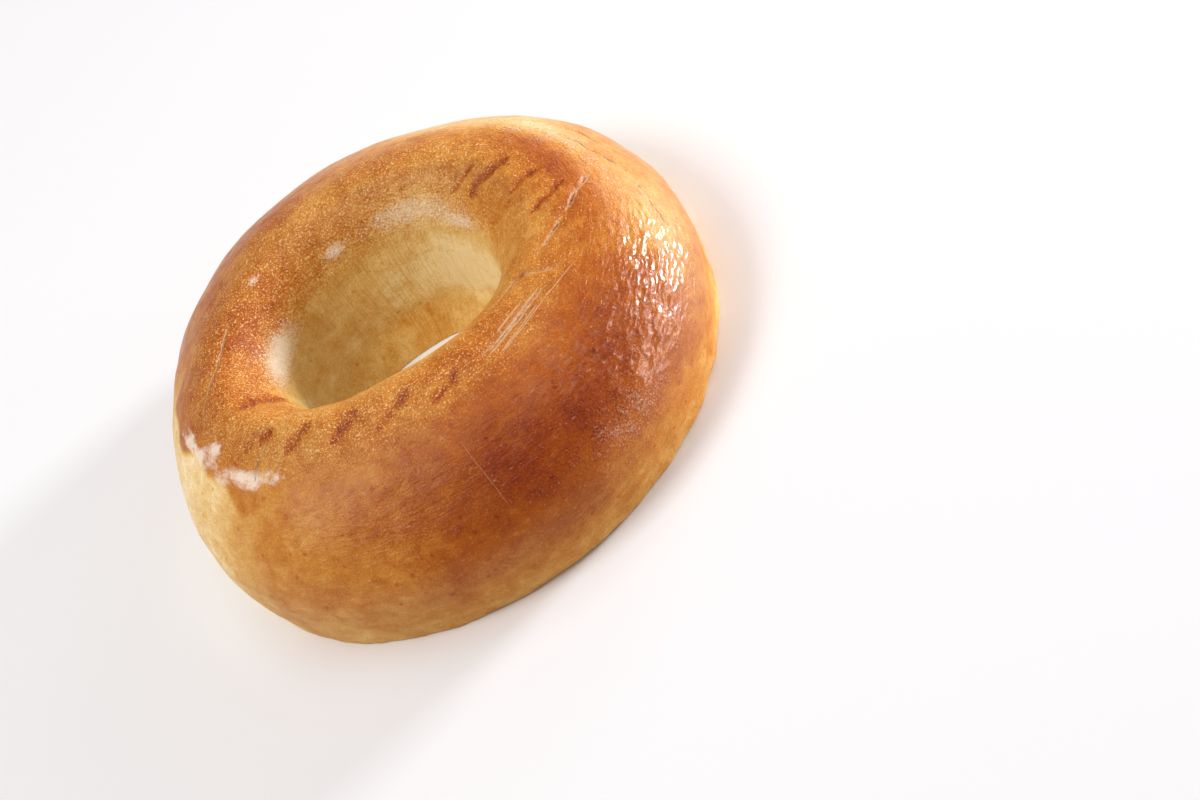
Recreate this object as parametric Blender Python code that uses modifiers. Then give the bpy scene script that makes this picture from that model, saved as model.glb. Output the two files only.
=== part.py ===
"""Top half of a sliced ring bagel, lying on its cut face with the crown up.

Metres, +Z up. The origin is under the middle of the outline, in the plane of the cut.
The half is turned as a round ring first, and its hand-rolled unevenness is added after that.
"""

import math

import bpy
from mathutils import Vector

# Sizes of the turned ring.
DIAMETER = 0.105
CUT_RADIUS = 0.0510          # the rim of the cut tucks in a little under the widest section
BELLY_HEIGHT = 0.0119        # height of the widest section above the cut
CROWN_HEIGHT = 0.0308        # height of the crown above the cut, as a mean round the ring
CROWN_RADIUS = 0.0291
THROAT_RADIUS = 0.0169       # where the hole's flare ends
THROAT_HEIGHT = 0.0063
HOLE_RADIUS = 0.0126         # the hole in the plane of the cut
SHOULDER_POWER = 1.15        # 1 is an ellipse, and more than 1 slopes the shoulder off
OUTER_RADIUS = DIAMETER / 2

# Unevenness, as (lobes round the ring, share of the size, direction of a lobe in degrees).
OUTLINE_LOBES = ((2, 0.014, -69), (3, 0.025, -20), (4, 0.011, 18))
HEIGHT_LOBES = ((1, 0.032, 192), (2, 0.038, 53))
HOLE_LOBES = ((2, 0.160, -10),)
HOLE_OFFSET = Vector((-0.0012, 0.0036, 0.0))

RING_STEPS = 72
BELLY_STEPS = 3
SHOULDER_STEPS = 13
FLARE_STEPS = 11
THROAT_STEPS = 2

CRUST_COLOUR = (0.43, 0.16, 0.035, 1.0)
CRUMB_COLOUR = (0.72, 0.45, 0.17, 1.0)


def clear_scene():
    for obj in list(bpy.data.objects):
        bpy.data.objects.remove(obj, do_unlink=True)


def material(name, colour, roughness):
    made = bpy.data.materials.new(name)
    made.use_nodes = True
    shader = made.node_tree.nodes["Principled BSDF"]
    shader.inputs["Base Color"].default_value = colour
    shader.inputs["Roughness"].default_value = roughness
    shader.inputs["Metallic"].default_value = 0.0
    return made


def steps(count):
    """Shares of the way along a stretch, without its end, which the next stretch starts with."""
    return [i / count for i in range(count)]


def ring_profile():
    """(radius, height) points of the section: down the shoulder, along the cut, up the hole."""
    points = []
    for share in steps(SHOULDER_STEPS):
        turn = (1 - share) * math.pi / 2
        out = math.cos(turn) ** SHOULDER_POWER
        up = math.sin(turn) ** SHOULDER_POWER
        radius = CROWN_RADIUS + (OUTER_RADIUS - CROWN_RADIUS) * out
        points.append((radius, BELLY_HEIGHT + (CROWN_HEIGHT - BELLY_HEIGHT) * up))
    for share in steps(BELLY_STEPS):
        tuck = (OUTER_RADIUS - CUT_RADIUS) * share**2
        points.append((OUTER_RADIUS - tuck, BELLY_HEIGHT * (1 - share)))
    points.append((CUT_RADIUS, 0.0))
    for share in steps(THROAT_STEPS):
        radius = HOLE_RADIUS + (THROAT_RADIUS - HOLE_RADIUS) * share
        points.append((radius, THROAT_HEIGHT * share))
    for share in steps(FLARE_STEPS):
        turn = share * math.pi / 2
        radius = CROWN_RADIUS - (CROWN_RADIUS - THROAT_RADIUS) * math.cos(turn)
        height = THROAT_HEIGHT + (CROWN_HEIGHT - THROAT_HEIGHT) * math.sin(turn)
        points.append((radius, height))
    points.append((CROWN_RADIUS, CROWN_HEIGHT))
    return points


def turned_ring():
    """The round ring, as one closed mesh made by a Screw on its section."""
    points = ring_profile()
    edges = [(i, (i + 1) % len(points)) for i in range(len(points))]
    section = bpy.data.meshes.new("section")
    section.from_pydata([(radius, 0.0, height) for radius, height in points], edges, [])
    blank = bpy.data.objects.new("ring_blank", section)
    bpy.context.scene.collection.objects.link(blank)
    turn = blank.modifiers.new("turn", "SCREW")
    turn.axis = "Z"
    turn.angle = 2 * math.pi
    turn.steps = turn.render_steps = RING_STEPS
    turn.use_merge_vertices = True
    turn.merge_threshold = 0.00001
    graph = bpy.context.evaluated_depsgraph_get()
    mesh = bpy.data.meshes.new_from_object(blank.evaluated_get(graph))
    bpy.data.objects.remove(blank, do_unlink=True)
    return mesh


def lobed(lobes, angle):
    """What the lobes multiply a size by in this direction."""
    return 1 + sum(share * math.cos(count * (angle - math.radians(way))) for count, share, way in lobes)


def roll_by_hand(mesh):
    """Moves the points of the round ring: an uneven outline, crown and hole."""
    for point in mesh.vertices:
        radius = math.hypot(point.co.x, point.co.y)
        angle = math.atan2(point.co.y, point.co.x)
        outer = min(max((radius - HOLE_RADIUS) / (OUTER_RADIUS - HOLE_RADIUS), 0.0), 1.0)
        stretch = 1 + outer * (lobed(OUTLINE_LOBES, angle) - 1) + (1 - outer) * (lobed(HOLE_LOBES, angle) - 1)
        height = point.co.z * lobed(HEIGHT_LOBES, angle)
        place = Vector((radius * stretch * math.cos(angle), radius * stretch * math.sin(angle), height))
        point.co = place + HOLE_OFFSET * (1 - outer)


def centre_outline(mesh):
    """Slides the mesh so that its outline's box is centred on the origin."""
    for axis in (0, 1):
        places = [point.co[axis] for point in mesh.vertices]
        middle = (min(places) + max(places)) / 2
        for point in mesh.vertices:
            point.co[axis] -= middle


def bagel_top_half(collection):
    mesh = turned_ring()
    roll_by_hand(mesh)
    centre_outline(mesh)
    mesh.name = "bagel_top_half"
    mesh.materials.clear()
    mesh.materials.append(material("baked_crust", CRUST_COLOUR, 0.32))
    mesh.materials.append(material("toasted_crumb", CRUMB_COLOUR, 0.85))
    mesh.shade_smooth()
    mesh.set_sharp_from_angle(angle=math.radians(50))
    for face in mesh.polygons:
        if face.normal.z < -0.99:
            face.material_index = 1
    half = bpy.data.objects.new("bagel_top_half", mesh)
    collection.objects.link(half)


def main():
    clear_scene()
    collection = bpy.data.collections.new("bagel")
    bpy.context.scene.collection.children.link(collection)
    bagel_top_half(collection)


main()
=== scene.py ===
"""Looks of a bagel's top half: glossy baked crust, pale hole wall and toasted cut face.

The half lies on its cut face with the crown up. Lengths are metres, and MM turns millimetres
into metres. TURN is the angle round the hole from +X, and LEAN is the angle round the ring's
section: -22 at the cut rim, 0 at the widest point, 90 on the crown, 215 down in the hole.
"""

import math
from types import SimpleNamespace

import bpy
import numpy as np
from mathutils import Matrix, Vector, noise


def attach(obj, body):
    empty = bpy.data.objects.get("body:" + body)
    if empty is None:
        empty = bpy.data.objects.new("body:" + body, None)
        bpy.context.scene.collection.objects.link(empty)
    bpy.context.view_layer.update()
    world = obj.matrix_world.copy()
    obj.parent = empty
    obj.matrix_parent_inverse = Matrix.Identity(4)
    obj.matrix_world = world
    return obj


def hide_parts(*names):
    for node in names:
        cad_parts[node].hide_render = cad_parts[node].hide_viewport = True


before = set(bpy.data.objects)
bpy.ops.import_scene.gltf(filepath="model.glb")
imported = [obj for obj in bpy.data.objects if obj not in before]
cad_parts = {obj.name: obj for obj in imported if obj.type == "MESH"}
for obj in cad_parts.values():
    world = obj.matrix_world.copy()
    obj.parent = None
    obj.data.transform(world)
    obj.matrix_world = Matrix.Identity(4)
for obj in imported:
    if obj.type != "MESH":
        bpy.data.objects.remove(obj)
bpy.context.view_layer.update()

MM = 0.001
NODE = "bagel_top_half"

# The turned ring, as the frame has it.
OUTER_RADIUS = 52.5 * MM
CUT_RADIUS = 51.0 * MM
BELLY_HEIGHT = 11.9 * MM
CROWN_HEIGHT = 30.8 * MM
CROWN_RADIUS = 29.1 * MM
THROAT_RADIUS = 16.9 * MM
THROAT_HEIGHT = 6.3 * MM
HOLE_RADIUS = 12.6 * MM
SHOULDER_POWER = 1.15
OUTLINE_LOBES = ((2, 0.014, -69), (3, 0.025, -20), (4, 0.011, 18))
HEIGHT_LOBES = ((1, 0.032, 192), (2, 0.038, 53))
HOLE_LOBES = ((2, 0.160, -10),)
HOLE_OFFSET = np.array((-1.2, 3.6, 0.0)) * MM

# The cage that is subdivided twice.
RING_STEPS = 104
RIM_SUPPORT = 0.7 * MM       # loops this close to the cut rims keep them crisp


def plain_colour(hex_code):
    """An sRGB hex colour as linear red, green, blue and alpha."""
    channels = [int(hex_code[i:i + 2], 16) / 255 for i in (1, 3, 5)]
    return tuple(c / 12.92 if c <= 0.04045 else ((c + 0.055) / 1.055) ** 2.4 for c in channels) + (1.0,)


# ---------------------------------------------------------------- the ring

def section_outline():
    """(radius, height) of the section: down the shoulder, along the cut, up the hole."""
    points = []
    for turn in np.linspace(math.pi / 2, 0, 19, endpoint=False):
        out, up = math.cos(turn) ** SHOULDER_POWER, math.sin(turn) ** SHOULDER_POWER
        points.append((
            CROWN_RADIUS + (OUTER_RADIUS - CROWN_RADIUS) * out,
            BELLY_HEIGHT + (CROWN_HEIGHT - BELLY_HEIGHT) * up,
        ))
    for share in (0, 0.22, 0.44, 0.66, 0.85, 1 - RIM_SUPPORT / BELLY_HEIGHT, 1):
        tuck = (OUTER_RADIUS - CUT_RADIUS) * share**2
        points.append((OUTER_RADIUS - tuck, BELLY_HEIGHT * (1 - share)))
    cut_width = CUT_RADIUS - HOLE_RADIUS
    for share in (RIM_SUPPORT / cut_width, *np.arange(1, 11) / 11, 1 - RIM_SUPPORT / cut_width, 1):
        points.append((CUT_RADIUS - cut_width * share, 0.0))
    for share in (RIM_SUPPORT / THROAT_HEIGHT, 0.5):
        points.append((HOLE_RADIUS + (THROAT_RADIUS - HOLE_RADIUS) * share, THROAT_HEIGHT * share))
    for turn in np.linspace(0, math.pi / 2, 17, endpoint=False):
        points.append((
            CROWN_RADIUS - (CROWN_RADIUS - THROAT_RADIUS) * math.cos(turn),
            THROAT_HEIGHT + (CROWN_HEIGHT - THROAT_HEIGHT) * math.sin(turn),
        ))
    return points


def apply_modifier(piece, kind, **settings):
    modifier = piece.modifiers.new(kind.lower(), kind)
    for name, value in settings.items():
        setattr(modifier, name, value)
    bpy.context.view_layer.objects.active = piece
    bpy.ops.object.modifier_apply(modifier=modifier.name)


def turned_ring():
    """A circle pulled to the section's outline, spun round the hole and subdivided."""
    outline = section_outline()
    bpy.ops.object.select_all(action="DESELECT")
    bpy.ops.mesh.primitive_circle_add(
        vertices=len(outline), radius=CROWN_HEIGHT / 2, location=(CROWN_RADIUS, 0, CROWN_HEIGHT / 2),
        rotation=(math.pi / 2, 0, 0),
    )
    piece = bpy.context.object
    piece.name = "baked_half"
    bpy.ops.object.transform_apply(location=True, rotation=True, scale=True)
    for point, (radius, height) in zip(piece.data.vertices, outline):
        point.co = (radius, 0, height)
    bpy.ops.object.mode_set(mode="EDIT")
    bpy.ops.mesh.select_all(action="SELECT")
    bpy.ops.mesh.spin(steps=RING_STEPS, angle=2 * math.pi, center=(0, 0, 0), axis=(0, 0, 1))
    bpy.ops.mesh.select_all(action="SELECT")
    bpy.ops.mesh.remove_doubles(threshold=0.01 * MM)
    bpy.ops.mesh.normals_make_consistent(inside=False)
    bpy.ops.object.mode_set(mode="OBJECT")
    apply_modifier(piece, "SUBSURF", levels=2, render_levels=2)
    return piece


def places_of(piece):
    places = np.empty(len(piece.data.vertices) * 3)
    piece.data.vertices.foreach_get("co", places)
    return places.reshape(-1, 3)


def normals_of(piece):
    normals = np.empty(len(piece.data.vertices) * 3)
    piece.data.vertices.foreach_get("normal", normals)
    return normals.reshape(-1, 3)


def move_to(piece, places):
    piece.data.vertices.foreach_set("co", places.ravel())
    piece.data.update()


def lobed(lobes, angle):
    return 1 + sum(share * np.cos(count * (angle - math.radians(way))) for count, share, way in lobes)


def roll_by_hand(places):
    """The places of the round ring's points, with the frame's uneven outline, crown and hole."""
    radius, angle = np.hypot(places[:, 0], places[:, 1]), np.arctan2(places[:, 1], places[:, 0])
    outer = np.clip((radius - HOLE_RADIUS) / (OUTER_RADIUS - HOLE_RADIUS), 0, 1)
    stretch = 1 + outer * (lobed(OUTLINE_LOBES, angle) - 1) + (1 - outer) * (lobed(HOLE_LOBES, angle) - 1)
    height = places[:, 2] * lobed(HEIGHT_LOBES, angle)
    rolled = np.column_stack((places[:, 0] * stretch, places[:, 1] * stretch, height))
    rolled += HOLE_OFFSET * (1 - outer)[:, None]
    rolled[:, :2] -= (rolled[:, :2].min(0) + rolled[:, :2].max(0)) / 2
    return rolled


# ---------------------------------------------------------------- marks and unevenness

def rough(places, size, seed, octaves=2):
    """Smooth noise between about -1 and 1, with bumps of this size."""
    shift = Vector((seed * 7.3, seed * 3.1, seed * 5.7))
    return np.array([
        noise.fractal(Vector(p) + shift, 1.0, 2.0, octaves) for p in (places / size).tolist()
    ])


def ramp(value, low, high):
    """0 at low and 1 at high, with a smooth step between."""
    share = np.clip((value - low) / (high - low), 0, 1)
    return share * share * (3 - 2 * share)


def round_from(turn, middle):
    """Degrees round the hole from this turn, between -180 and 180."""
    return (turn - middle + 180) % 360 - 180


def in_hole(lean):
    """0 on the crown and 1 on the wall of the hole."""
    return ramp(lean, 118, 140)


def patch(turn, lean, at_turn, at_lean, wide_turn, wide_lean):
    """A soft patch on the ring: 1 in its middle, fading out over its widths in degrees."""
    across = round_from(turn, at_turn)
    return np.exp(-(across / wide_turn) ** 2 - ((lean - at_lean) / wide_lean) ** 2)


def patches(turn, lean, brushed):
    return sum(share * patch(turn, lean, *where) for *where, share in brushed)


def unrolled(turn, lean):
    """Places on a 45 mm drum: round it by turn and along it by lean, for patterns with a direction."""
    angle = np.radians(turn)
    return np.column_stack((np.cos(angle) * 45, np.sin(angle) * 45, lean * 0.36)) * MM


def along_stroke(places, start, end):
    """Distance from a straight stroke across the crown, and the share of the way along it."""
    start, end = np.array(start) * MM, np.array(end) * MM
    run = end - start
    share = np.clip(((places[:, :2] - start) @ run) / (run @ run), 0, 1)
    return np.hypot(*(places[:, :2] - start - share[:, None] * run).T), share


# Marks on the crown, seen from above, in mm: start and end of each stroke, and its half width.
# Dents are where the dough lay on the bars of the boiling rack.
DENTS = (
    ((-30.6, -2.0), (-23.8, 2.0), 3.0),
    ((-34.8, -11.0), (-27.6, -12.4), 2.2),
    ((-29.4, -18.9), (-21.8, -17.2), 1.9),
    ((-22.2, -24.5), (-15.0, -22.4), 2.0),
    ((-15.0, -28.8), (-6.0, -26.1), 1.8),
    ((-5.2, -31.8), (2.2, -29.5), 1.5),
    ((21.6, 9.9), (28.2, 9.1), 1.3),
    ((23.4, 6.0), (33.6, 4.6), 1.9),
    ((28.4, -2.8), (35.6, -1.4), 1.4),
    ((29.0, -9.9), (37.6, -7.2), 1.5),
)
# Creases are where the skin folded and split.
CREASES = (
    ((41.7, -7.9), (33.4, -14.2), 0.6),
    ((33.4, -14.2), (24.3, -18.8), 0.6),
    ((26.1, -24.0), (20.3, -19.9), 0.45),
    ((22.4, -25.3), (6.0, -30.2), 0.50),
    ((42.9, 5.3), (46.9, -9.0), 0.35),
    ((47.2, -7.0), (45.2, -23.0), 0.35),
    ((45.0, 9.0), (48.6, -4.0), 0.3),
    ((20.3, -19.9), (12.6, -21.9), 0.45),
    ((-29.6, -13.0), (-36.0, -17.0), 0.4),
    ((-22.8, 20.6), (-37.5, 3.5), 0.4),
)
# Scratches are dry, light lines scraped into the glossy skin.
SCRATCHES = (
    ((21.9, -24.5), (8.6, -29.6), 0.65),
    ((20.4, -25.9), (6.4, -31.0), 0.60),
    ((17.6, -25.0), (10.8, -27.6), 0.45),
    ((19.0, -27.6), (9.0, -31.6), 0.40),
    ((29.4, -24.0), (7.8, -32.4), 0.22),
    ((-5.4, -39.2), (-6.2, -49.8), 0.07),
)


# Heights and depths of the crust's unevenness, in mm.
LUMPS, SMALL_LUMPS = 0.42, 0.16
RIDGES, RIPPLES, BLISTERS = 0.15, 0.12, 0.10
SKIN_THICKNESS = 0.30
DENT_DEPTH, CREASE_DEPTH = 0.75, 0.22
TEAR_WIDE, TEAR_FINE = 0.32, 0.14
WIDE_PORES, SMALL_PORES, CRUMB = 1.1, 0.45, 0.12
# Widths as shares of a stroke's own half width, and how high the lip beside a dent stands.
DENT_LIP_WIDTH, DENT_LIP_SHARE, CREASE_SPREAD = 1.9, 0.35, 1.6
# Where the boiled skin shrank into folds, as patches: turn, lean, the two widths and how much.
TIGHTENED = (
    (-38, 24, 19, 27, 1.4),
    (-62, 36, 15, 24, 0.75),
)
# The middle of the side that lost its brown skin, and how brown the dough is there.
PEELED_TURN, PEELED_BAKE = 176, 0.09


def skin_share(turn, lean):
    """Where the boiled skin shrank into tight glossy folds: the shoulder right of the browned side."""
    return np.clip(patches(turn, lean, TIGHTENED), 0, 1)


def peeled_share(turn, lean):
    """Where the brown skin is missing and the pale dough shows: the left side, below a torn edge."""
    across = round_from(turn, PEELED_TURN)
    edge = 52 + 5 * np.sin(np.radians(across * 9)) + 3 * np.sin(np.radians(across * 23))
    return ramp(lean, edge + 3, edge - 3) * ramp(np.abs(across), 38, 12)


def shape_crust(places, turn, lean):
    """How far each point of the crust is lifted along its normal, in mm."""
    lift = LUMPS * rough(places, 20 * MM, 1) + SMALL_LUMPS * rough(places, 7 * MM, 2)
    drum = unrolled(turn, lean)
    ridges = 1 - 2 * np.abs(rough(drum * (0.75, 0.75, 1.3), 4.2 * MM, 3))
    lift += RIDGES * ridges * skin_share(turn, lean)
    ripples = rough(drum * (3.0, 3.0, 0.35), 6 * MM, 4)
    lift += RIPPLES * ripples * (in_hole(lean) + 0.6 * ramp(lean, 20, -5))
    lift += BLISTERS * rough(places, 3 * MM, 5) * ramp(lean, 40, 75) * ramp(lean, 140, 115)
    lift -= SKIN_THICKNESS * peeled_share(turn, lean)
    on_crown = ramp(lean, 20, 35)
    for start, end, width in DENTS:
        away, share = along_stroke(places, start, end)
        taper = np.sin(np.pi * np.clip(share, 0.06, 0.94))
        groove = np.exp(-((away / (width * MM)) ** 2))
        lip = np.exp(-((away / (DENT_LIP_WIDTH * width * MM)) ** 2))
        lift -= DENT_DEPTH * taper * (groove - DENT_LIP_SHARE * lip) * on_crown
    for start, end, width in CREASES:
        away, _ = along_stroke(places, start, end)
        lift -= CREASE_DEPTH * np.exp(-((away / (CREASE_SPREAD * width * MM)) ** 2)) * on_crown
    return lift


def fray_rim(places, ring):
    """Tears the rim of the cut a little in and out, as a bread knife leaves it, and keeps it flat."""
    near_rim = ramp(places[:, 2], 3.2 * MM, 0.2 * MM)
    near_rim *= ramp(np.hypot(ring[:, 0], ring[:, 1]), 47 * MM, 50 * MM)
    torn = TEAR_WIDE * rough(places, 6 * MM, 6) + TEAR_FINE * rough(places, 2.2 * MM, 7)
    outward = places * (1, 1, 0) / np.hypot(places[:, 0], places[:, 1])[:, None]
    return places + outward * (near_rim * torn * MM)[:, None]


def pore_depth(places):
    """Depth of the crumb's holes in the cut face, in mm: a few wide ones and many small ones."""
    wide = ramp(rough(places, 5.5 * MM, 8), 0.22, 0.62)
    small = ramp(rough(places, 2.2 * MM, 9), 0.15, 0.6)
    return WIDE_PORES * wide + SMALL_PORES * small + CRUMB * (1 + rough(places, 1.6 * MM, 10))


def store(piece, name, values):
    layer = piece.data.attributes.new(name, "FLOAT", "POINT")
    layer.data.foreach_set("value", values.astype(np.float32))


# How brown the crust is by lean, before the patches: 0 is pale dough and 1 is nearly burnt.
BAKED_BY_LEAN = (
    (-32, 0.28), (-14, 0.40), (10, 0.48), (35, 0.50), (60, 0.50), (85, 0.45), (112, 0.42),
    (126, 0.32), (144, 0.13), (160, 0.07), (192, 0.08), (206, 0.20), (230, 0.28),
)
# Patches as turn, lean, width round the ring, width over the section, and how much browner,
# frostier or flakier. A few of them are painted light, shade and sheen, each marked where it stands.
BROWNING_AND_PAINTED_LIGHT = (
    (-82, 30, 34, 29, 0.34),
    (-48, 34, 14, 26, 0.12),
    (-106, -4, 20, 16, 0.08),
    (-140, 15, 22, 40, -0.09),
    # A paler top edge: partly painted sheen where the edge catches the light.
    (30, 46, 34, 20, -0.24),
    (35, 118, 24, 16, -0.12),
    (-22, 26, 14, 18, -0.16),
    (0, 66, 30, 13, 0.22),
    (145, 104, 36, 26, 0.13),
    (100, 62, 36, 14, 0.06),
    (-165, 88, 12, 10, -0.06),
    (-80, 88, 40, 12, 0.08),
    # A browner wall of the hole at turn 125: partly darker dough, partly painted shade on this shaded wall.
    (125, 160, 44, 34, 0.10),
    (-98, 106, 46, 9, -0.10),
    (60, 208, 22, 12, 0.08),
    (70, 0, 60, 30, -0.16),
    (-42, -4, 34, 14, 0.05),
    # A paler wall of the hole at turn 27: painted light on the lit side of the hole.
    (27, 176, 28, 34, -0.14),
    (176, 97, 24, 18, 0.07),
)
FROST_AND_PAINTED_SHEEN = (
    (150, 131, 20, 12, 1.2),
    (88, 118, 7, 5, 0.9),
    (44, 118, 28, 10, 0.68),
    (16, 127, 11, 7, 0.75),
    (121, 96, 3, 3, 0.8),
    # A pale patch on the top edge: painted sheen.
    (16, 46, 34, 15, 0.50),
    # A pale patch low on the right shoulder: a painted reflection of the bright floor.
    (-68, 10, 13, 12, 0.34),
)
# Dry skin lifted along the torn edge, its pale colour partly a painted sheen.
FLAKES_AND_PAINTED_SHEEN = (
    (178, 58, 9, 5, 1.1),
    (-173, 68, 5, 6, 0.9),
    (-158, 62, 8, 4, 1.1),
    (-150, 66, 5, 3.5, 0.9),
    (-166, 57, 4, 3, 0.7),
)
# Where the crown's sparkling grain is worn smooth.
SMOOTHER = ((-22, 95, 42, 50, 0.65),)


def bagel_half():
    piece = turned_ring()
    ring = places_of(piece)
    turn = np.degrees(np.arctan2(ring[:, 1], ring[:, 0]))
    radius = np.hypot(ring[:, 0], ring[:, 1])
    lean = np.degrees(np.arctan2(ring[:, 2] - BELLY_HEIGHT, radius - CROWN_RADIUS))
    lean = np.where(lean < -90, lean + 360, lean)
    places = roll_by_hand(ring)
    move_to(piece, places)
    on_cut = (ring[:, 2] < 0.05 * MM).astype(float)
    lift = shape_crust(places, turn, lean) * (1 - on_cut) * ramp(ring[:, 2], 0, 2.5 * MM)
    places = fray_rim(places + normals_of(piece) * (lift * MM)[:, None], ring)
    inside_rims = ramp(radius, CUT_RADIUS - 0.2 * MM, CUT_RADIUS - 3 * MM)
    inside_rims *= ramp(radius, HOLE_RADIUS + 0.2 * MM, HOLE_RADIUS + 3 * MM)
    pores = on_cut * inside_rims * pore_depth(places)
    places[:, 2] += pores * MM
    move_to(piece, places)

    # The browning carries the painted light, shade and sheen of some of its patches.
    bake_and_light = np.interp(lean, *zip(*BAKED_BY_LEAN)) + patches(turn, lean, BROWNING_AND_PAINTED_LIGHT)
    peeled = peeled_share(turn, lean)
    store(piece, "bake_and_light", bake_and_light * (1 - peeled) + PEELED_BAKE * peeled)
    # Starch bloom, and painted sheen on the top edge and low on the right shoulder.
    store(piece, "frost", patches(turn, lean, FROST_AND_PAINTED_SHEEN))
    # Lifted dry skin along the torn edge, partly painted sheen.
    store(piece, "flake_and_sheen", patches(turn, lean, FLAKES_AND_PAINTED_SHEEN))
    store(piece, "folds", skin_share(turn, lean))
    sugary = ramp(lean, 55, 80) * ramp(lean, 142, 122)
    store(piece, "grain", sugary * (1 - patches(turn, lean, SMOOTHER)))
    store(piece, "hole", in_hole(lean))
    store(piece, "pore", pores)
    store(piece, "rind", ramp(radius, CUT_RADIUS - 1.4 * MM, CUT_RADIUS - 0.2 * MM))
    store(piece, "gloss", ramp(lean, 132, 105) * (1 - 0.75 * peeled) * (1 - 0.7 * ramp(lean, 15, -20)))
    drum = piece.data.attributes.new("drum", "FLOAT_VECTOR", "POINT")
    drum.data.foreach_set("vector", unrolled(turn, lean).astype(np.float32).ravel())
    piece.data.shade_smooth()
    piece.data.materials.append(baked_crust())
    piece.data.materials.append(toasted_crumb())
    for face in piece.data.polygons:
        face.material_index = int(all(on_cut[v] for v in face.vertices))
    return piece


# ---------------------------------------------------------------- materials

def add(tree, kind, inputs=(), **settings):
    """Adds a node. Settings are its properties; inputs are values or links by socket name or number.

    A Mix node numbers its factor 0, its vectors 4 and 5, and its colours 6 and 7.
    """
    node = tree.nodes.new(kind)
    for name, value in settings.items():
        setattr(node, name, value)
    for name, value in dict(inputs).items():
        if isinstance(value, bpy.types.NodeSocket):
            tree.links.new(value, node.inputs[name])
        else:
            node.inputs[name].default_value = value
    return node


def shades(tree, value, stops):
    """A colour ramp through these (position, hex colour) stops."""
    band = add(tree, "ShaderNodeValToRGB", {"Fac": value})
    elements = band.color_ramp.elements
    while len(elements) < len(stops):
        elements.new(0.5)
    for element, (position, shade) in zip(elements, stops):
        element.position = position
        element.color = plain_colour(shade)
    return band.outputs["Color"]


def new_material(name, **values):
    material = bpy.data.materials.new(name)
    material.use_nodes = True
    tree = material.node_tree
    for socket, value in values.items():
        tree.nodes["Principled BSDF"].inputs[socket.replace("_", " ")].default_value = value
    return material, tree, tree.nodes["Principled BSDF"]


def nearness_group():
    """A node group: 1 on a straight stroke seen from above, falling to 0 at its half width."""
    group = bpy.data.node_groups.new("stroke_nearness", "ShaderNodeTree")
    for name in ("Place", "Start", "Run"):
        group.interface.new_socket(name, in_out="INPUT", socket_type="NodeSocketVector")
    group.interface.new_socket("Width", in_out="INPUT", socket_type="NodeSocketFloat")
    group.interface.new_socket("Nearness", in_out="OUTPUT", socket_type="NodeSocketFloat")
    given = add(group, "NodeGroupInput")
    flat = add(group, "ShaderNodeVectorMath", {
        0: given.outputs["Place"], 1: (1, 1, 0),
    }, operation="MULTIPLY")
    from_start = add(group, "ShaderNodeVectorMath", {0: flat.outputs[0], 1: given.outputs["Start"]},
                     operation="SUBTRACT")
    along = add(group, "ShaderNodeVectorMath", {0: from_start.outputs[0], 1: given.outputs["Run"]},
                operation="DOT_PRODUCT")
    whole = add(group, "ShaderNodeVectorMath", {0: given.outputs["Run"], 1: given.outputs["Run"]},
                operation="DOT_PRODUCT")
    share = add(group, "ShaderNodeMath", {0: along.outputs["Value"], 1: whole.outputs["Value"]},
                operation="DIVIDE", use_clamp=True)
    reached = add(group, "ShaderNodeVectorMath", {0: given.outputs["Run"], "Scale": share.outputs[0]},
                  operation="SCALE")
    away = add(group, "ShaderNodeVectorMath", {0: from_start.outputs[0], 1: reached.outputs[0]},
               operation="DISTANCE")
    # The stroke narrows to nothing at both ends.
    middle = add(group, "ShaderNodeMath", {0: share.outputs[0], 1: 1.0}, operation="PINGPONG")
    ends = add(group, "ShaderNodeMath", {0: share.outputs[0], 1: share.outputs[0]}, operation="MULTIPLY")
    hump = add(group, "ShaderNodeMath", {0: middle.outputs[0], 1: ends.outputs[0]}, operation="SUBTRACT")
    swell = add(group, "ShaderNodeMath", {
        0: hump.outputs[0], 1: 8.0,
    }, operation="MULTIPLY", use_clamp=True)
    width = add(group, "ShaderNodeMath", {
        0: swell.outputs[0], 1: given.outputs["Width"],
    }, operation="MULTIPLY")
    nearness = add(group, "ShaderNodeMapRange", {
        "Value": away.outputs["Value"], "From Max": width.outputs[0], "To Min": 1.0, "To Max": 0.0,
    })
    add(group, "NodeGroupOutput", {"Nearness": nearness.outputs[0]})
    return group


def nearest_stroke(tree, group, place, strokes):
    """1 on any of these strokes, falling to 0 at its half width."""
    nearest = 0.0
    for start, end, width in strokes:
        run = (Vector(end) - Vector(start)) * MM
        one = add(tree, "ShaderNodeGroup", {
            "Place": place, "Start": (start[0] * MM, start[1] * MM, 0), "Run": (run.x, run.y, 0),
            "Width": width * MM,
        }, node_tree=group)
        nearest = add(tree, "ShaderNodeMath", {
            0: nearest, 1: one.outputs[0],
        }, operation="MAXIMUM").outputs[0]
    return nearest


def sums(tree, terms):
    """The sum of value x amount over these terms, each value centred on its middle."""
    total = 0.0
    for value, middle, amount in terms:
        if middle:
            value = add(tree, "ShaderNodeMath", {0: value, 1: middle}, operation="SUBTRACT").outputs[0]
        total = add(tree, "ShaderNodeMath", {
            0: value, 1: amount, 2: total,
        }, operation="MULTIPLY_ADD").outputs[0]
    return total


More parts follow.
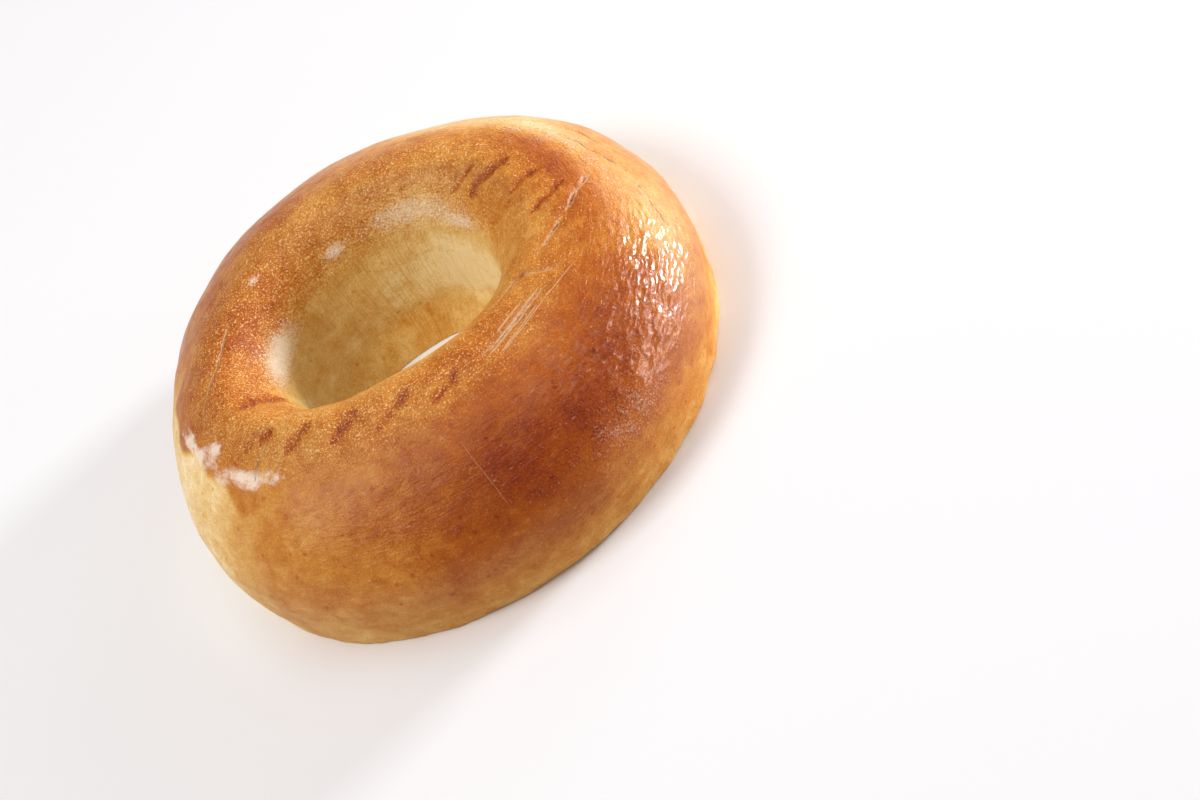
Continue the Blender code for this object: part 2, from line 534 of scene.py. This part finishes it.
def skin_patterns(tree):
    """The patterns in the skin, each at its real size, and the layers stored on the piece."""
    skin = SimpleNamespace()
    skin.layer = {
        name: add(tree, "ShaderNodeAttribute", attribute_name=name).outputs["Fac"]
        for name in ("bake_and_light", "frost", "flake_and_sheen", "folds", "grain", "hole", "gloss")
    }
    skin.place = add(tree, "ShaderNodeTexCoord").outputs["Object"]
    skin.drum = add(tree, "ShaderNodeAttribute", attribute_name="drum").outputs["Vector"]
    skin.in_crust = add(tree, "ShaderNodeMath", {
        0: 1.0, 1: skin.layer["hole"],
    }, operation="SUBTRACT").outputs[0]
    # Cloudy browning, as wide as a thumb print, where the dough was thicker or damper.
    skin.clouds = add(tree, "ShaderNodeTexNoise", {
        "Vector": skin.place, "Scale": 1 / (11 * MM), "Detail": 3.0, "Roughness": 0.6,
    }).outputs["Fac"]
    # Mottling of the skin, a few mm wide.
    skin.mottles = add(tree, "ShaderNodeTexNoise", {
        "Vector": skin.place, "Scale": 1 / (2.8 * MM), "Detail": 5.0, "Roughness": 0.66,
        "Distortion": 0.5,
    }).outputs["Fac"]
    # Fine blistered grain that sparkles on the crown.
    skin.grit = add(tree, "ShaderNodeTexNoise", {
        "Vector": skin.place, "Scale": 1 / (0.34 * MM), "Detail": 2.0, "Roughness": 0.7,
    }).outputs["Fac"]
    grainy = add(tree, "ShaderNodeMath", {
        0: skin.layer["grain"], 1: 0.55, 2: 0.45,
    }, operation="MULTIPLY_ADD").outputs[0]
    sparkle = add(tree, "ShaderNodeMath", {0: skin.grit, 1: 0.5}, operation="SUBTRACT").outputs[0]
    skin.sparkle = add(tree, "ShaderNodeMath", {0: sparkle, 1: grainy}, operation="MULTIPLY").outputs[0]
    # Short dashes round the ring, where the skin stretched as the dough rose.
    stretched = add(tree, "ShaderNodeVectorMath", {
        0: skin.drum, 1: (1.0, 1.0, 3.2),
    }, operation="MULTIPLY").outputs[0]
    skin.dashes = add(tree, "ShaderNodeTexNoise", {
        "Vector": stretched, "Scale": 1 / (3.6 * MM), "Detail": 3.0, "Roughness": 0.6, "Distortion": 0.6,
    }).outputs["Fac"]
    # Fine ripples up and down the hole and the lower wall.
    upright = add(tree, "ShaderNodeVectorMath", {
        0: skin.drum, 1: (3.2, 3.2, 0.5),
    }, operation="MULTIPLY").outputs[0]
    skin.ripples = add(tree, "ShaderNodeTexNoise", {
        "Vector": upright, "Scale": 1 / (5 * MM), "Detail": 3.0, "Roughness": 0.55,
    }).outputs["Fac"]
    # Freckles, under 1 mm wide, scorched darker than the rest.
    freckle_cells = add(tree, "ShaderNodeTexVoronoi", {
        "Vector": skin.place, "Scale": 1 / (3.4 * MM),
    }).outputs["Distance"]
    skin.freckles = add(tree, "ShaderNodeMapRange", {
        "Value": freckle_cells, "From Min": 0.06, "From Max": 0.16, "To Min": 1.0, "To Max": 0.0,
    }).outputs[0]
    # Light fleck marks, 1 mm long, where the skin blistered: pale, with painted glints on them.
    warped = add(tree, "ShaderNodeVectorMath", {
        0: skin.clouds, 1: (6 * MM,) * 3, 2: stretched,
    }, operation="MULTIPLY_ADD").outputs[0]
    fleck_cells = add(tree, "ShaderNodeTexVoronoi", {
        "Vector": warped, "Scale": 1 / (4.0 * MM),
    }).outputs["Distance"]
    flecks = add(tree, "ShaderNodeMapRange", {
        "Value": fleck_cells, "From Min": 0.04, "From Max": 0.14, "To Min": 1.0, "To Max": 0.0,
    }).outputs[0]
    skin.flecks = add(tree, "ShaderNodeMath", {0: flecks, 1: skin.in_crust}, operation="MULTIPLY").outputs[0]
    return skin


def skin_strokes(tree, skin):
    """Dents, creases and scratches, which wander a little off their straight lines, and tight folds."""
    wander = add(tree, "ShaderNodeTexNoise", {
        "Vector": skin.place, "Scale": 1 / (2.4 * MM), "Detail": 2.0,
    }).outputs["Color"]
    wander = add(tree, "ShaderNodeVectorMath", {
        0: wander, 1: (0.5, 0.5, 0.5),
    }, operation="SUBTRACT").outputs[0]
    shifted = add(tree, "ShaderNodeVectorMath", {
        0: wander, 1: (1.5 * MM,) * 3, 2: skin.place,
    }, operation="MULTIPLY_ADD").outputs[0]
    group = nearness_group()
    skin.dents = nearest_stroke(tree, group, shifted, DENTS)
    creases = nearest_stroke(tree, group, shifted, CREASES)
    broken = add(tree, "ShaderNodeMapRange", {
        "Value": skin.mottles, "From Min": 0.38, "From Max": 0.58,
    }).outputs[0]
    skin.creases = add(tree, "ShaderNodeMath", {0: creases, 1: broken}, operation="MULTIPLY").outputs[0]
    # Scratches stay straighter than dents and creases.
    straighter = add(tree, "ShaderNodeMix", {
        0: 0.25, 4: skin.place, 5: shifted,
    }, data_type="VECTOR").outputs[1]
    skin.scratches = nearest_stroke(tree, group, straighter, SCRATCHES)
    # Tight folds of the shrunken skin, crumpled by the same wander.
    crumpled = add(tree, "ShaderNodeVectorMath", {
        0: wander, 1: (1.3 * MM,) * 3, 2: skin.drum,
    }, operation="MULTIPLY_ADD").outputs[0]
    pinched = add(tree, "ShaderNodeVectorMath", {
        0: crumpled, 1: (1.0, 1.0, 2.4),
    }, operation="MULTIPLY").outputs[0]
    folds = add(tree, "ShaderNodeTexVoronoi", {
        "Vector": pinched, "Scale": 1 / (2.2 * MM), "Smoothness": 0.35,
    }, feature="SMOOTH_F1").outputs["Distance"]
    skin.folded = add(tree, "ShaderNodeMath", {
        0: folds, 1: skin.layer["folds"],
    }, operation="MULTIPLY").outputs[0]


def browned_and_lit_skin(tree, skin):
    """The browning, from raw dough through gold and chestnut to scorched.

    It carries the painted light and shade of the patches, and painted glints on the brightest grains and on
    the blister marks.
    """
    scorched = add(tree, "ShaderNodeMath", {
        0: skin.dents, 1: skin.mottles,
    }, operation="MULTIPLY").outputs[0]
    scorched = add(tree, "ShaderNodeMapRange", {
        "Value": scorched, "From Min": 0.03, "From Max": 0.74,
    }, interpolation_type="SMOOTHSTEP").outputs[0]
    # The browning sum carries the painted light and shade of the browning patches.
    browned = sums(tree, (
        (skin.layer["bake_and_light"], 0.0, 1.0), (skin.clouds, 0.5, 0.34), (skin.mottles, 0.5, 0.30),
        (skin.dashes, 0.5, 0.18), (scorched, 0.0, 0.34), (skin.freckles, 0.0, 0.12),
        (skin.sparkle, 0.0, -0.75),
    ))
    crust = shades(tree, browned, (
        (0.0, "#fdebc6"), (0.12, "#efce90"), (0.28, "#dca758"), (0.44, "#c8812e"),
        (0.62, "#aa5608"), (0.84, "#863100"), (1.0, "#5a1a00"),
    ))
    # In the hole the dough stayed raw, with a greener tan.
    crust = add(tree, "ShaderNodeMix", {
        0: skin.layer["hole"], 6: crust, 7: (0.93, 0.94, 0.79, 1.0),
    }, data_type="RGBA", blend_type="MULTIPLY").outputs[2]
    # Painted glints: the brightest grains get a pale colour that stands for the light they catch, like
    # sugar.
    glints = add(tree, "ShaderNodeMapRange", {
        "Value": skin.sparkle, "From Min": 0.085, "From Max": 0.15, "To Max": 0.60,
    }).outputs[0]
    crust = add(tree, "ShaderNodeMix", {
        0: glints, 6: crust, 7: plain_colour("#fbdca0"),
    }, data_type="RGBA").outputs[2]
    # The blister marks are paler, partly as painted glints.
    lightened = add(tree, "ShaderNodeMath", {0: skin.flecks, 1: 0.24}, operation="MULTIPLY").outputs[0]
    return add(tree, "ShaderNodeMix", {
        0: lightened, 6: crust, 7: plain_colour("#f0c08c"),
    }, data_type="RGBA").outputs[2]


def lined_skin(tree, skin, crust):
    """Dry scratches as pale lines on this crust, each with a painted shadow beside it.

    Creases get a painted highlight on their edges and painted shade along their middle.
    """
    dry_line = add(tree, "ShaderNodeMath", {
        0: skin.scratches, 1: skin.mottles,
    }, operation="MULTIPLY").outputs[0]
    dry_line = add(tree, "ShaderNodeMapRange", {
        "Value": dry_line, "From Min": 0.12, "From Max": 0.50, "To Max": 0.75,
    }).outputs[0]
    # Each crease: a painted highlight on its edges and painted shade along its middle.
    split = add(tree, "ShaderNodeMapRange", {
        "Value": skin.creases, "From Min": 0.05, "From Max": 0.45,
    }).outputs[0]
    crease_core = add(tree, "ShaderNodeMapRange", {
        "Value": skin.creases, "From Min": 0.62, "From Max": 0.80,
    }).outputs[0]
    lit_edge = add(tree, "ShaderNodeMath", {
        0: split, 1: crease_core,
    }, operation="SUBTRACT", use_clamp=True).outputs[0]
    skin.lines = add(tree, "ShaderNodeMath", {
        0: lit_edge, 1: 0.55, 2: dry_line,
    }, operation="MULTIPLY_ADD").outputs[0]
    # Pale colour on the dry scratches and the painted highlight on crease edges.
    lined = add(tree, "ShaderNodeMix", {
        0: skin.lines, 6: crust, 7: plain_colour("#e2b789"),
    }, data_type="RGBA").outputs[2]
    # Painted shadow beside each scratch and painted shade along the middle of each crease.
    scratch_shadow = add(tree, "ShaderNodeMapRange", {"Value": skin.scratches, "From Max": 0.3}).outputs[0]
    scratch_shadow = add(tree, "ShaderNodeMath", {
        0: scratch_shadow, 1: dry_line,
    }, operation="SUBTRACT", use_clamp=True).outputs[0]
    painted_shade_lines = add(tree, "ShaderNodeMath", {0: crease_core, 1: 0.45}, operation="MULTIPLY").outputs[0]
    painted_shade_lines = add(tree, "ShaderNodeMath", {
        0: scratch_shadow, 1: 0.35, 2: painted_shade_lines,
    }, operation="MULTIPLY_ADD").outputs[0]
    return add(tree, "ShaderNodeMix", {
        0: painted_shade_lines, 6: lined, 7: plain_colour("#8a3f10"),
    }, data_type="RGBA").outputs[2]


def dust_sheen_and_flakes(tree, skin, crust):
    """Frost and flakes on this crust: a bloom of dried starch, and dry skin lifted at the torn edge.

    Both carry painted sheen: pale patches on the top edge and low on the right shoulder, and along the torn
    edge.
    """
    frosty = sums(tree, ((skin.layer["frost"], 0.0, 1.0), (skin.mottles, 0.5, 0.9), (skin.grit, 0.5, 1.3)))
    skin.frosty = add(tree, "ShaderNodeMapRange", {
        "Value": frosty, "From Min": 0.20, "From Max": 1.15, "To Max": 0.80,
    }, interpolation_type="SMOOTHSTEP").outputs[0]
    # Pale colour for the starch bloom, and for the painted sheen in two of its patches.
    frosted_and_sheened = add(tree, "ShaderNodeMix", {
        0: skin.frosty, 6: crust, 7: plain_colour("#faf0dc"),
    }, data_type="RGBA").outputs[2]
    torn = sums(tree, ((skin.layer["flake_and_sheen"], 0.0, 1.0), (skin.mottles, 0.5, 2.6), (skin.dashes, 0.5, 1.4)))
    torn = add(tree, "ShaderNodeMapRange", {
        "Value": torn, "From Min": 0.34, "From Max": 1.1, "To Max": 0.85,
    }).outputs[0]
    near_tear = add(tree, "ShaderNodeMapRange", {
        "Value": skin.layer["flake_and_sheen"], "From Min": 0.10, "From Max": 0.30,
    }).outputs[0]
    skin.torn = add(tree, "ShaderNodeMath", {0: torn, 1: near_tear}, operation="MULTIPLY").outputs[0]
    # Pale colour for the lifted skin along the torn edge, partly a painted sheen.
    return add(tree, "ShaderNodeMix", {
        0: skin.torn, 6: frosted_and_sheened, 7: plain_colour("#fbeada"),
    }, data_type="RGBA").outputs[2]


def baked_crust():
    """Boiled and baked crust: a thin glossy skin, browned where it faced the heat, dull in the hole."""
    material, tree, shader = new_material(
        "baked_crust", Specular_IOR_Level=0.30, Coat_Roughness=0.13,
    )
    skin = skin_patterns(tree)
    skin_strokes(tree, skin)
    crust = browned_and_lit_skin(tree, skin)
    crust = lined_skin(tree, skin, crust)
    crust = dust_sheen_and_flakes(tree, skin, crust)
    tree.links.new(crust, shader.inputs["Base Color"])

    # Glossy where the skin is whole, dull where it is dusty, torn or in the hole.
    dull = sums(tree, (
        (skin.layer["gloss"], 1.0, -0.42), (skin.mottles, 0.5, 0.22), (skin.grit, 0.5, 0.30),
        (skin.frosty, 0.0, 0.35), (skin.torn, 0.0, 0.2), (skin.lines, 0.0, 0.3),
        (skin.layer["folds"], 0.0, -0.16),
    ))
    roughness = add(tree, "ShaderNodeMath", {
        0: dull, 1: 0.36,
    }, operation="ADD", use_clamp=True).outputs[0]
    tree.links.new(roughness, shader.inputs["Roughness"])

    # A thin clear skin shines on the tight folds.
    clear = sums(tree, ((skin.layer["folds"], 0.0, 0.75), (skin.layer["gloss"], 0.0, 0.10)))
    clear = add(tree, "ShaderNodeMath", {0: clear, 1: -0.06}, operation="ADD", use_clamp=True).outputs[0]
    tree.links.new(clear, shader.inputs["Coat Weight"])

    # Relief in mm: folds, dashes, ripples, grain, marks.
    dashed = add(tree, "ShaderNodeMath", {
        0: skin.dashes, 1: skin.in_crust,
    }, operation="MULTIPLY").outputs[0]
    rippled = add(tree, "ShaderNodeMath", {
        0: skin.ripples, 1: skin.layer["hole"],
    }, operation="MULTIPLY").outputs[0]
    relief = sums(tree, (
        (skin.folded, 0.0, 0.27), (dashed, 0.0, 0.28), (rippled, 0.0, 0.24), (skin.ripples, 0.5, 0.05),
        (skin.mottles, 0.5, 0.20), (skin.sparkle, 0.0, 0.14), (skin.grit, 0.5, 0.03),
        (skin.creases, 0.0, -0.28), (skin.freckles, 0.0, -0.03), (skin.flecks, 0.0, 0.07),
    ))
    bump = add(tree, "ShaderNodeBump", {"Height": relief, "Distance": 1.0 * MM})
    tree.links.new(bump.outputs[0], shader.inputs["Normal"])
    # The clear skin bridges the finest grain and follows only the folds.
    skin_relief = sums(tree, ((skin.folded, 0.0, 0.24), (skin.mottles, 0.5, 0.06)))
    skin_bump = add(tree, "ShaderNodeBump", {"Height": skin_relief, "Distance": 1.0 * MM})
    tree.links.new(skin_bump.outputs[0], shader.inputs["Coat Normal"])
    return material


def toasted_crumb():
    """The cut face: open crumb, toasted gold, with browned high spots and dark red-brown specks."""
    material, tree, shader = new_material(
        "toasted_crumb", Subsurface_Weight=0.12, Subsurface_Scale=2.0 * MM,
        Subsurface_Radius=(1.0, 0.5, 0.25), Roughness=0.78, Specular_IOR_Level=0.25,
    )
    place = add(tree, "ShaderNodeTexCoord").outputs["Object"]
    pore = add(tree, "ShaderNodeAttribute", attribute_name="pore").outputs["Fac"]
    rind = add(tree, "ShaderNodeAttribute", attribute_name="rind").outputs["Fac"]
    # Toasting in patches, about 1 cm wide.
    patchy = add(tree, "ShaderNodeTexNoise", {
        "Vector": place, "Scale": 1 / (10 * MM), "Detail": 4.0, "Roughness": 0.62,
    }).outputs["Fac"]
    # Crumb strands and small bubbles.
    strands = add(tree, "ShaderNodeTexNoise", {
        "Vector": place, "Scale": 1 / (1.3 * MM), "Detail": 4.0, "Roughness": 0.7, "Distortion": 0.8,
    }).outputs["Fac"]
    bubbles = add(tree, "ShaderNodeTexVoronoi", {
        "Vector": place, "Scale": 1 / (1.9 * MM), "Smoothness": 0.4,
    }, feature="SMOOTH_F1").outputs["Distance"]
    # Scorched specks, 1 mm wide and ragged, gathered where the toasting is darkest.
    speck_cells = add(tree, "ShaderNodeTexVoronoi", {
        "Vector": place, "Scale": 1 / (3.0 * MM),
    }).outputs["Distance"]
    uneven = add(tree, "ShaderNodeMath", {
        0: strands, 1: 0.8, 2: speck_cells,
    }, operation="MULTIPLY_ADD").outputs[0]
    uneven = add(tree, "ShaderNodeMath", {
        0: patchy, 1: -0.9, 2: uneven,
    }, operation="MULTIPLY_ADD").outputs[0]
    specks = add(tree, "ShaderNodeMapRange", {
        "Value": uneven, "From Min": -0.02, "From Max": 0.11, "To Min": 0.85, "To Max": 0.0,
    }).outputs[0]
    # The strands that stand proud are toasted most, and the bottoms of the pores stay pale.
    # The crust shows as a thin brown edge round the crumb.
    toast = sums(tree, ((patchy, 0.22, 1.0), (strands, 0.0, 0.55), (pore, 0.0, -0.22), (rind, 0.0, 0.40)))
    crumb = shades(tree, toast, (
        (0.15, "#f5e3b6"), (0.38, "#edcf8f"), (0.58, "#e0b064"), (0.80, "#c98a3c"), (1.0, "#a35c1e"),
    ))
    speckled = add(tree, "ShaderNodeMix", {
        0: specks, 6: crumb, 7: plain_colour("#8a3b12"),
    }, data_type="RGBA").outputs[2]
    tree.links.new(speckled, shader.inputs["Base Color"])
    relief = add(tree, "ShaderNodeMath", {
        0: strands, 1: 0.6, 2: bubbles,
    }, operation="MULTIPLY_ADD").outputs[0]
    bump = add(tree, "ShaderNodeBump", {"Height": relief, "Distance": 0.6 * MM})
    tree.links.new(bump.outputs[0], shader.inputs["Normal"])
    return material


# ---------------------------------------------------------------- stage

def floor():
    bpy.ops.object.select_all(action="DESELECT")
    bpy.ops.mesh.primitive_plane_add(size=6.0)
    ground = bpy.context.object
    ground.name = "floor"
    paper, _, _ = new_material("pale_paper", Base_Color=plain_colour("#eef1f8"), Roughness=0.9)
    ground.data.materials.append(paper)


# The camera looks down on the crown, rolled to the side. Degrees, metres and mm of lens.
OVERHEAD_TILT = 48.14
ROLL = 40.8
DISTANCE = 0.4401
LENS = 74.17
SENSOR = 36.0
AIM_HEIGHT = 16.2 * MM
AIM = (-0.1550, 0.0524)      # where the ring's middle stands in the frame, in frame widths


def camera():
    tilt, roll = math.radians(OVERHEAD_TILT), math.radians(ROLL)
    back = Vector((0, -math.sin(tilt), math.cos(tilt)))
    side = Vector((1, 0, 0))
    over = back.cross(side)
    right = side * math.cos(roll) - over * math.sin(roll)
    up = side * math.sin(roll) + over * math.cos(roll)
    facing = Matrix((right, up, back)).transposed()
    seen = Vector((AIM[0] * SENSOR / LENS, AIM[1] * SENSOR / LENS, -1))
    swing = seen.rotation_difference(Vector((0, 0, -1))).to_matrix()
    lens = bpy.data.cameras.new("camera")
    lens.lens, lens.sensor_width = LENS, SENSOR
    eye = bpy.data.objects.new("camera", lens)
    middle = Vector((0, 0, AIM_HEIGHT))
    eye.matrix_world = Matrix.Translation(middle + back * DISTANCE) @ (facing @ swing).to_4x4()
    bpy.context.scene.collection.objects.link(eye)
    bpy.context.scene.camera = eye
    return right, up, back


def softbox(name, way, distance, width, height, power, colour="#ffffff"):
    """A soft area light that faces the ring from this direction."""
    light = bpy.data.lights.new(name, "AREA")
    light.shape = "RECTANGLE"
    light.size, light.size_y = width, height
    light.energy = power
    light.color = plain_colour(colour)[:3]
    lamp = bpy.data.objects.new(name, light)
    lamp.location = Vector((0, 0, 15 * MM)) + way.normalized() * distance
    lamp.rotation_euler = (-way).to_track_quat("-Z", "Y").to_euler()
    lamp.visible_camera = False
    bpy.context.scene.collection.objects.link(lamp)


def studio(right, up, back):
    world = bpy.data.worlds.new("studio")
    world.use_nodes = True
    world.node_tree.nodes["Background"].inputs["Color"].default_value = plain_colour("#fff7ee")
    world.node_tree.nodes["Background"].inputs["Strength"].default_value = 0.27
    bpy.context.scene.world = world
    softbox("key", up * 0.75 + right * 0.65 + back * 0.10, 0.9, 0.17, 0.14, 8.4)
    softbox("rim", up * 0.92 + right * 0.30 - back * 0.24, 0.9, 0.42, 0.35, 1.2)
    softbox("top", Vector((0, 0.1, 1)), 1.1, 1.0, 1.0, 4.0)
    softbox("left_fill", back * 0.58 - right * 0.79 + up * 0.10, 0.9, 0.32, 0.32, 4.0, "#fff6ec")
    softbox("right_fill", right * 0.88 + up * 0.42 + back * 0.43, 0.9, 0.3, 0.2, 1.6, "#fff0e2")
    bpy.context.scene.view_settings.view_transform = "Standard"


half = bagel_half()
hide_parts(NODE)
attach(half, "root")
floor()
studio(*camera())
